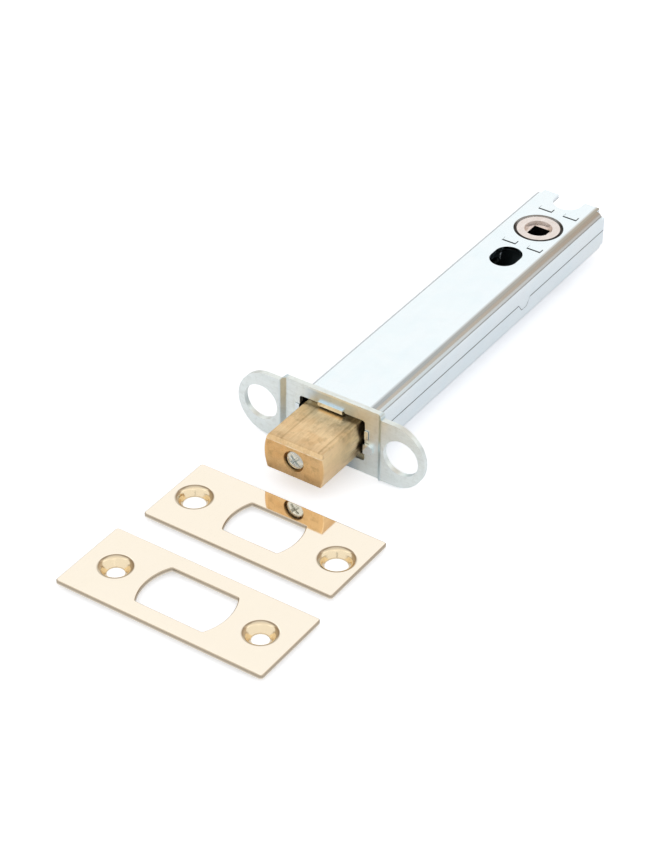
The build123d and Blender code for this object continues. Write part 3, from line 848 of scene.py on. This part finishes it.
@dataclass(frozen=True)
class BoltFinish(MetalFinish):
    """Drawn brass bar with draw marks, painted light and shade on its faces, painted shade broken by stains
    near the forend, and a painted edge highlight.
    """

    front: Pair = (16.14 * MM, 16.2 * MM)
    # Painted shade: the front face is darker and deeper in colour.
    front_shade: Triple = (0.86, 0.78, 0.68)
    bevel: Pair = (15.1 * MM, 15.3 * MM)
    bevel_height: Pair = (3.95 * MM, 4.05 * MM)
    # Painted shade on the bevel.
    bevel_shade: Triple = (0.84, 0.81, 0.77)
    top: Pair = (4.9 * MM, 5.0 * MM)
    side: Pair = (7.9 * MM, 8.2 * MM)
    side_top: Pair = (4.5 * MM, 4.8 * MM)
    # Painted light: the sides are lighter and more yellow, less so towards the top.
    side_light: Triple = (0.97, 0.71, 0.41)
    side_light_strength: float = 0.6
    marks: Pair = (-4.4 * MM, 6.9 * MM)
    mark_width: Pair = (0.05 * MM, 0.4 * MM)
    mark_tint: Triple = (0.72, 0.68, 0.62)
    mark_strength: float = 0.85
    root: Pair = (8.5 * MM, 2.5 * MM)
    root_side: Pair = (0.5 * MM, 6.0 * MM)
    root_least: float = 0.2
    # Painted shade near the forend, broken up by stains.
    root_shade_tint: Triple = (0.5, 0.48, 0.45)
    root_shade_strength: float = 0.95
    stain_scale: float = 260.0
    stain_stretch: Triple = (0.35, 1.0, 1.0)
    stain_range: Pair = (0.4, 0.62)
    nose: Pair = (11.5 * MM, 15.0 * MM)
    nose_tint: Triple = (0.85, 0.82, 0.79)
    edge: Pair = (15.9 * MM, 16.0 * MM)
    edge_height: float = 4.03 * MM
    edge_width: Pair = (0.04 * MM, 0.2 * MM)
    # Painted highlight along the bevel's lower edge, broken up by chips.
    edge_highlight: Triple = (0.99, 0.88, 0.66)
    edge_strength: float = 0.7
    chip_scale: float = 500.0
    chip_range: Pair = (0.35, 0.6)
    chip_least: float = 0.35

    def marks_and_painted_light(self, graph: Graph, colour: object, rough: object) -> tuple[object, object]:
        """Paints light and shade on each face of the bar and a highlight along the bevel's edge, and adds
        the draw marks and stains.

        Args:
            graph: the material's graph.
            colour: the brass's colour.
            rough: its roughness.

        Returns:
            The new colour and roughness.
        """
        along, across, height = graph.axes()
        top = graph.band(height, *self.top)
        # Painted light on the sides of the bar.
        side = graph.band(graph.math("ABSOLUTE", across), *self.side)
        side = graph.times(side, graph.fall(height, *self.side_top, self.side_light_strength))
        colour = graph.mix(side, colour, self.side_light)
        # Painted shade near the forend, broken up by stains and strongest on the +Y side.
        stains = graph.noise(self.stain_scale, 4.0, 0.65, self.stain_stretch, 0.6)
        root_shade = graph.band(stains, *self.stain_range, 0.0, self.root_shade_strength)
        root_shade = graph.times(root_shade, graph.band(across, *self.root_side, self.root_least, 1.0))
        root_shade = graph.times(root_shade, graph.band(along, *self.root))
        colour = graph.mix(root_shade, colour, self.root_shade_tint, "MULTIPLY")
        nose = graph.times(graph.band(along, *self.nose), top)
        colour = graph.mix(nose, colour, self.nose_tint, "MULTIPLY")
        for place in self.marks:
            mark = graph.fall(graph.gap(across, place), *self.mark_width, self.mark_strength)
            colour = graph.mix(graph.times(mark, top), colour, self.mark_tint, "MULTIPLY")
        # Painted shade: the bevel is darker.
        bevel = graph.times(graph.band(along, *self.bevel), graph.band(height, *self.bevel_height))
        colour = graph.mix(bevel, colour, self.bevel_shade, "MULTIPLY")
        # Painted shade: the front face is darker and deeper in colour.
        colour = graph.mix(graph.band(along, *self.front), colour, self.front_shade, "MULTIPLY")
        # Painted highlight along the bevel's lower edge, broken up by chips.
        edge = graph.fall(graph.gap(height, self.edge_height), *self.edge_width, self.edge_strength)
        edge = graph.times(edge, graph.band(along, *self.edge))
        chips = graph.noise(self.chip_scale, 2.0, 0.5)
        edge = graph.times(edge, graph.band(chips, *self.chip_range, self.chip_least, 1.0))
        return graph.mix(edge, colour, self.edge_highlight), rough


@dataclass(frozen=True)
class PlateFinish(MetalFinish):
    """Polished brass whose dimples are deeper in colour, partly rougher pressed brass and partly painted
    reflection, with painted dark reflection round every edge and on each dimple's shoulder.
    """

    middle: Pair = (50.8 * MM, 3.8 * MM)
    dimple: Pair = (16.5 * MM, 21.7 * MM)
    dimple_reach: Pair = (6.1 * MM, 6.4 * MM)
    deep: Pair = (-8.1 * MM, -7.81 * MM)
    # Deeper dimple colour: partly the rougher pressed brass, partly painted reflection of the dimple's own
    # walls.
    dimple_colour: Triple = (0.86, 0.72, 0.5)
    pressed_rough: float = 0.1
    # Painted dark reflection ring on each dimple's shoulder.
    ring: float = 4.75 * MM
    ring_width: Pair = (0.08 * MM, 0.38 * MM)
    ring_strength: float = 0.6
    edge_top: Pair = (-7.85 * MM, -7.8 * MM)
    edge_low: Pair = (-8.7 * MM, -8.4 * MM)
    edge_strength: float = 0.9
    # Painted dark reflection, for the line round the edges and the ring on each dimple's shoulder.
    dark_reflection: Triple = (0.46, 0.38, 0.28)

    def marks_and_painted_light(self, graph: Graph, colour: object, rough: object) -> tuple[object, object]:
        """Colours the dimples, and paints a dark reflection ring on each dimple's shoulder and a dark
        reflection line round the plate's edges.

        All four dimples are found at once, by the distances from the set's middle without their signs.

        Args:
            graph: the material's graph.
            colour: the brass's colour.
            rough: its roughness.

        Returns:
            The new colour and roughness.
        """
        along, across, height = graph.axes()
        off = [
            graph.math("SUBTRACT", graph.gap(place, middle), reach)
            for place, middle, reach in zip((along, across), self.middle, self.dimple)
        ]
        radius = graph.length(*off)
        # Painted dark reflection: a brown line on the rounded edge and side below the top.
        edge = graph.fall(height, *self.edge_top, self.edge_strength)
        colour = graph.mix(graph.times(edge, graph.band(height, *self.edge_low)), colour, self.dark_reflection)
        deep = graph.fall(height, *self.deep)
        # Dimple colour, partly pressed brass and partly painted reflection of the dimple's walls.
        mask = graph.times(graph.fall(radius, *self.dimple_reach), deep)
        colour = graph.mix(mask, colour, self.dimple_colour)
        # Painted dark reflection ring on each dimple's shoulder.
        ring = graph.fall(graph.gap(radius, self.ring), *self.ring_width, self.ring_strength)
        colour = graph.mix(graph.times(deep, ring), colour, self.dark_reflection)
        return colour, graph.math("ADD", rough, graph.times(mask, self.pressed_rough))


@dataclass(frozen=True)
class FollowerFinish(MetalFinish):
    """Cast metal with painted shade in a groove round the face and in the bore."""

    axis_x: float = -106.0 * MM
    groove: Pair = (6.12 * MM, 6.24 * MM)
    groove_toward: Pair = (0.83, 0.56)
    groove_range: Pair = (-6.6 * MM, -2.0 * MM)
    groove_shades: Pair = (0.25, 0.95)
    bore: Pair = (3.72 * MM, 3.77 * MM)
    bore_top: Pair = (5.0 * MM, 5.1 * MM)
    # Painted shade in the groove and the bore.
    shade_colour: Triple = (0.035, 0.03, 0.028)
    dark_rough: float = 0.2

    def marks_and_painted_light(self, graph: Graph, colour: object, rough: object) -> tuple[object, object]:
        """Paints shade by the distance from the follower's axis.

        The groove's painted shade is darkest away from the sky's reflection, and the bore is painted dark
        below the dish.

        Args:
            graph: the material's graph.
            colour: the metal's colour.
            rough: its roughness.

        Returns:
            The new colour and roughness.
        """
        along, across, height = graph.axes()
        along = graph.math("SUBTRACT", along, self.axis_x)
        radius = graph.length(along, across)
        toward = [graph.times(place, share) for place, share in zip((along, across), self.groove_toward)]
        shade = graph.band(graph.math("ADD", *toward), *self.groove_range, *self.groove_shades)
        # Painted shade in the groove, darkest away from the sky's reflection.
        ring = graph.times(graph.band(radius, *self.groove), shade)
        # Painted shade in the bore below the dish.
        bore = graph.times(
            graph.fall(radius, *self.bore),
            graph.fall(graph.math("ABSOLUTE", height), *self.bore_top),
        )
        mask = graph.math("MAXIMUM", ring, bore)
        rough = graph.math("ADD", rough, graph.times(mask, self.dark_rough))
        return graph.mix(mask, colour, self.shade_colour), rough


@dataclass(frozen=True)
class FloorFinish:
    """Matt white paper, a little brighter to the camera so that it meets the background."""

    albedo: Triple = (0.82, 0.84, 0.885)
    lift: float = 0.44
    mirror_lift: float = 0.1
    fibre_scale: float = 900.0
    fibre_range: Pair = (0.3, 0.7)
    fibre_shade: float = 0.985

    def build(self) -> bpy.types.Material:
        """Makes the material.

        Returns:
            The new material.
        """
        material = bpy.data.materials.new("studio_floor")
        material.use_nodes = True
        graph = Graph(material.node_tree)
        fibre = graph.band(graph.noise(self.fibre_scale, 3.0, 0.6), *self.fibre_range)
        shaded = [part * self.fibre_shade for part in self.albedo]
        paper = graph.node("BsdfDiffuse")
        graph.feed(paper.inputs["Color"], graph.mix(fibre, self.albedo, shaded))
        glow = graph.node("Emission")
        graph.feed(glow.inputs["Color"], (1.0, 1.0, 1.0))
        path = graph.node("LightPath")
        mirrored = graph.math("MAXIMUM", path.outputs["Is Glossy Ray"], path.outputs["Is Transmission Ray"])
        seen = graph.times(path.outputs["Is Camera Ray"], self.lift)
        strength = graph.math("MAXIMUM", seen, graph.times(mirrored, self.mirror_lift))
        graph.feed(glow.inputs["Strength"], strength)
        both = graph.node("AddShader")
        graph.feed(both.inputs[0], paper.outputs[0])
        graph.feed(both.inputs[1], glow.outputs[0])
        out = graph.node("OutputMaterial")
        graph.feed(out.inputs["Surface"], both.outputs[0])
        return material


@dataclass(frozen=True)
class Lamp:
    """One rectangular softbox."""

    name: str
    place: Triple
    aim: Triple
    size: Pair
    power: float

    def build(self) -> bpy.types.Object:
        """Hangs the softbox.

        Returns:
            The light's object.
        """
        data = bpy.data.lights.new(self.name, "AREA")
        data.shape = "RECTANGLE"
        data.size, data.size_y = self.size
        data.energy = self.power
        lamp = bpy.data.objects.new(self.name, data)
        lamp.location = self.place
        away = Vector(self.place) - Vector(self.aim)
        lamp.rotation_mode = "QUATERNION"
        lamp.rotation_quaternion = away.to_track_quat("Z", "Y")
        bpy.context.scene.collection.objects.link(lamp)
        return lamp


@dataclass(frozen=True)
class StudioCamera:
    """The photograph's camera, found from the lock's known sizes."""

    azimuth: float = 123.748
    elevation: float = 36.836
    roll: float = 0.538
    distance: float = 647.425 * MM
    target: Triple = (1.839 * MM, -0.166 * MM, -0.2 * MM)
    focal_pixels: float = 2518.34
    sensor: float = 36.0
    clip: Pair = (0.01, 20.0)

    def build(self) -> bpy.types.Object:
        """Makes the scene's camera.

        Returns:
            The camera's object.
        """
        turn, lift, lean = (math.radians(a) for a in (self.azimuth, self.elevation, self.roll))
        back = Vector((math.sin(turn) * math.cos(lift), -math.cos(turn) * math.cos(lift), math.sin(lift)))
        right = (-back).cross(Vector((0, 0, 1))).normalized()
        up = right.cross(-back).normalized()
        level, upright = right, up
        right = math.cos(lean) * level + math.sin(lean) * upright
        up = -math.sin(lean) * level + math.cos(lean) * upright
        data = bpy.data.cameras.new("photo_camera")
        data.sensor_width = self.sensor
        data.sensor_fit = "AUTO"
        data.lens = self.focal_pixels / max(IMAGE_SIZE) * self.sensor
        data.clip_start, data.clip_end = self.clip
        camera = bpy.data.objects.new("photo_camera", data)
        turned = Matrix((right, up, back)).transposed().to_4x4()
        turned.translation = Vector(self.target) + back * self.distance
        camera.matrix_world = turned
        bpy.context.scene.collection.objects.link(camera)
        bpy.context.scene.camera = camera
        return camera


@dataclass(frozen=True)
class DarkPatch:
    """A dim stretch of the room, which shows in the metal's bends and dimples."""

    azimuth: float
    spread: float
    bottom: float
    top: float
    colour: Triple
    soft: float

    def lay(
        self,
        graph: Graph,
        under: object,
        level: Sequence[Socket],
        height: object,
    ) -> Socket:
        """Lays the patch over a colour.

        The patch covers directions whose bearing is within the spread of the azimuth and whose elevation is
        between bottom and top, and fades out over the soft angle outside them. The top stays under 90
        degrees and top plus soft at 90 at most: past it the upper fade loses its width.

        Args:
            graph: the world's graph.
            under: the colour below.
            level: the bearing's unit vector along X and Y.
            height: the sine of the elevation.

        Returns:
            The colour with the patch.
        """
        turn = math.radians(self.azimuth)
        along = graph.times(level[0], math.cos(turn))
        toward = graph.math("ADD", along, graph.times(level[1], math.sin(turn)))
        sides = [math.cos(math.radians(self.spread + off)) for off in (self.soft, 0.0)]
        lows = [math.sin(math.radians(self.bottom - off)) for off in (self.soft, 0.0)]
        highs = [math.sin(math.radians(self.top + off)) for off in (0.0, self.soft)]
        mask = graph.times(graph.band(toward, *sides), graph.band(height, *lows))
        return graph.mix(graph.times(mask, graph.fall(height, *highs)), under, self.colour)


@dataclass(frozen=True)
class Studio:
    """Plain pale floor, white room with a few dim stretches, and one large softbox overhead."""

    floor_half: float = 4.0
    sky: Triple = (1.04, 1.04, 1.04)
    horizon: Triple = (0.42, 0.4, 0.38)
    horizon_fade: Pair = (9.0, 14.0)
    ceiling: Triple = (0.74, 0.73, 0.72)
    ceiling_fade: Pair = (52.0, 60.0)
    least_reach: float = 0.001
    patches: tuple[DarkPatch, ...] = (
        DarkPatch(azimuth=213.7, spread=45.0, bottom=49.0, top=66.0, colour=(0.28, 0.22, 0.15), soft=4.0),
        DarkPatch(azimuth=30.0, spread=4.0, bottom=-10.0, top=22.0, colour=(0.1, 0.09, 0.08), soft=4.0),
        DarkPatch(azimuth=256.0, spread=17.0, bottom=-5.0, top=47.0, colour=(0.5, 0.41, 0.31), soft=8.0),
        DarkPatch(azimuth=172.0, spread=18.0, bottom=-20.0, top=51.0, colour=(0.6, 0.51, 0.43), soft=8.0),
    )
    lamps: tuple[Lamp, ...] = (
        Lamp("top_softbox", place=(0.0, 0.0, 1.0), aim=(0.0, 0.0, 0.0), size=(1.6, 1.6), power=2.3),
    )

    def build(self) -> None:
        """Makes the floor, the world and the lights."""
        self.make_floor()
        self.make_world()
        for lamp in self.lamps:
            lamp.build()

    def make_floor(self) -> None:
        """Lays a square of paper under the lock."""
        mesh = bpy.data.meshes.new("studio_floor")
        sides = ((-1, -1), (1, -1), (1, 1), (-1, 1))
        corners = [(self.floor_half * x, self.floor_half * y, FLOOR_Z) for x, y in sides]
        mesh.from_pydata(corners, [], [(0, 1, 2, 3)])
        floor = bpy.data.objects.new("studio_floor", mesh)
        floor.data.materials.append(FloorFinish().build())
        bpy.context.scene.collection.objects.link(floor)

    def make_world(self) -> None:
        """White to the camera; to the metal a white room with a dim horizon, ceiling and patches.

        The ceiling is about as much dimmer than the walls as the softbox below it adds.
        """
        world = bpy.data.worlds.new("studio")
        bpy.context.scene.world = world
        world.use_nodes = True
        graph = Graph(world.node_tree)
        split = graph.node("SeparateXYZ")
        graph.feed(split.inputs[0], graph.node("TexCoord").outputs["Generated"])
        along, across, height = split.outputs
        reach = graph.math("MAXIMUM", graph.length(along, across), self.least_reach)
        level = [graph.math("DIVIDE", part, reach) for part in (along, across)]
        low = [math.sin(math.radians(angle)) for angle in self.horizon_fade]
        high = [math.sin(math.radians(angle)) for angle in self.ceiling_fade]
        room = graph.mix(graph.band(height, *low), self.horizon, self.sky)
        room = graph.mix(graph.band(height, *high), room, self.ceiling)
        for patch in self.patches:
            room = patch.lay(graph, room, level, height)
        seen = graph.node("LightPath").outputs["Is Camera Ray"]
        background = graph.node("Background")
        graph.feed(background.inputs["Color"], graph.mix(seen, room, (1.0, 1.0, 1.0)))
        graph.feed(background.inputs["Strength"], 1.0)
        out = graph.node("OutputWorld")
        graph.feed(out.inputs["Surface"], background.outputs[0])


ZINC = CaseFinish(
    "zinc_plated_sheet",
    base=(0.875, 0.94, 0.96), tint=(0.83, 0.92, 0.95), dull=(0.8, 0.82, 0.84),
    roughness=0.13, roughness_spread=0.03, line_colour=0.03, line_depth=0.0012 * MM,
    grain_depth=0.0012 * MM, tint_amount=0.7, dull_amount=0.15,
)
FOREND_ZINC = ForendFinish(
    "forend_sheet",
    base=(0.91, 0.97, 0.95), tint=(0.84, 0.9, 0.89), dull=(0.6, 0.63, 0.58),
    roughness=0.38, line_stretch=(1.0, 0.05, 1.0), line_colour=0.16, line_depth=0.005 * MM,
    dull_amount=0.4, cloud_scale=230.0,
)
BOLT_BRASS = BoltFinish(
    "brushed_brass",
    base=(0.95, 0.72, 0.43), tint=(0.87, 0.6, 0.32), dull=(0.42, 0.29, 0.14),
    roughness=0.34, line_colour=0.26, line_depth=0.014 * MM, line_stretch=(0.09, 1.0, 1.0),
    cloud_scale=170.0, tint_amount=0.9, dull_amount=0.55, grain_depth=0.008 * MM,
)
PLATE_BRASS = PlateFinish(
    "polished_brass",
    base=(0.955, 0.87, 0.735), tint=(0.945, 0.86, 0.72), dull=(0.88, 0.76, 0.56),
    roughness=0.05, roughness_spread=0.02, line_colour=0.02, line_depth=0.0004 * MM,
    grain_depth=0.0005 * MM, dull_amount=0.06,
)
SCREW_STEEL = MetalFinish(
    "bright_steel",
    base=(0.76, 0.79, 0.77), tint=(0.7, 0.74, 0.74), dull=(0.45, 0.45, 0.42),
    roughness=0.26, line_colour=0.05, line_depth=0.002 * MM, cloud_scale=700.0,
)
FOLLOWER_METAL = FollowerFinish(
    "cast_follower",
    base=(0.88, 0.81, 0.77), tint=(0.8, 0.7, 0.64), dull=(0.6, 0.5, 0.44),
    roughness=0.3, line_colour=0.03, line_depth=0.002 * MM, cloud_scale=500.0, dull_amount=0.4,
)

FINISHES = {
    "case_upper_shell": ZINC,
    "case_lower_shell": ZINC,
    "forend": FOREND_ZINC,
    "bolt": BOLT_BRASS,
    "bolt_screw": SCREW_STEEL,
    "draw_bar": ZINC,
    "draw_bar_stud": SCREW_STEEL,
    "follower": FOLLOWER_METAL,
    "front_spacer": ZINC,
    "rear_spacer": ZINC,
    "detent_spring": SCREW_STEEL,
    "faceplate": PLATE_BRASS,
    "strike_plate": PLATE_BRASS,
}

PLATES = (
    PressedPlate(
        "pressed_faceplate", "faceplate", length=57.0, width=24.9, opening=(19.4, 12.7),
        dish_radius=4.25, hole_radius=3.0, centre=(34.3, 3.6),
    ),
    PressedPlate(
        "pressed_strike_plate", "strike_plate", length=61.5, width=24.7, opening=(24.0, 14.8),
        dish_radius=4.05, hole_radius=2.3, centre=(67.3, 4.0),
    ),
)


def dress_nodes() -> dict[str, bpy.types.Material]:
    """Gives every CAD node its finish.

    Returns:
        Each node's material.
    """
    made: dict[str, bpy.types.Material] = {}
    for name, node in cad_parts.items():
        finish = FINISHES[name]
        if finish.name not in made:
            made[finish.name] = finish.build()
        node.data.materials.clear()
        node.data.materials.append(made[finish.name])
        LOG.info("dressed %s in %s", name, finish.name)
    return {name: made[FINISHES[name].name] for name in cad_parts}


def add_pieces(materials: dict[str, bpy.types.Material]) -> None:
    """Lays the smooth pieces over their CAD nodes.

    Args:
        materials: each node's material.
    """
    for plate in PLATES:
        plate.build(materials[plate.node])
    screw = PanHeadScrew()
    screw.build(materials[screw.node])


def main() -> None:
    """Builds the whole scene."""
    logging.basicConfig(level=logging.INFO)
    bpy.context.scene.view_settings.view_transform = "Standard"
    StudioCamera().build()
    Studio().build()
    add_pieces(dress_nodes())


if __name__ == "__main__":
    main()
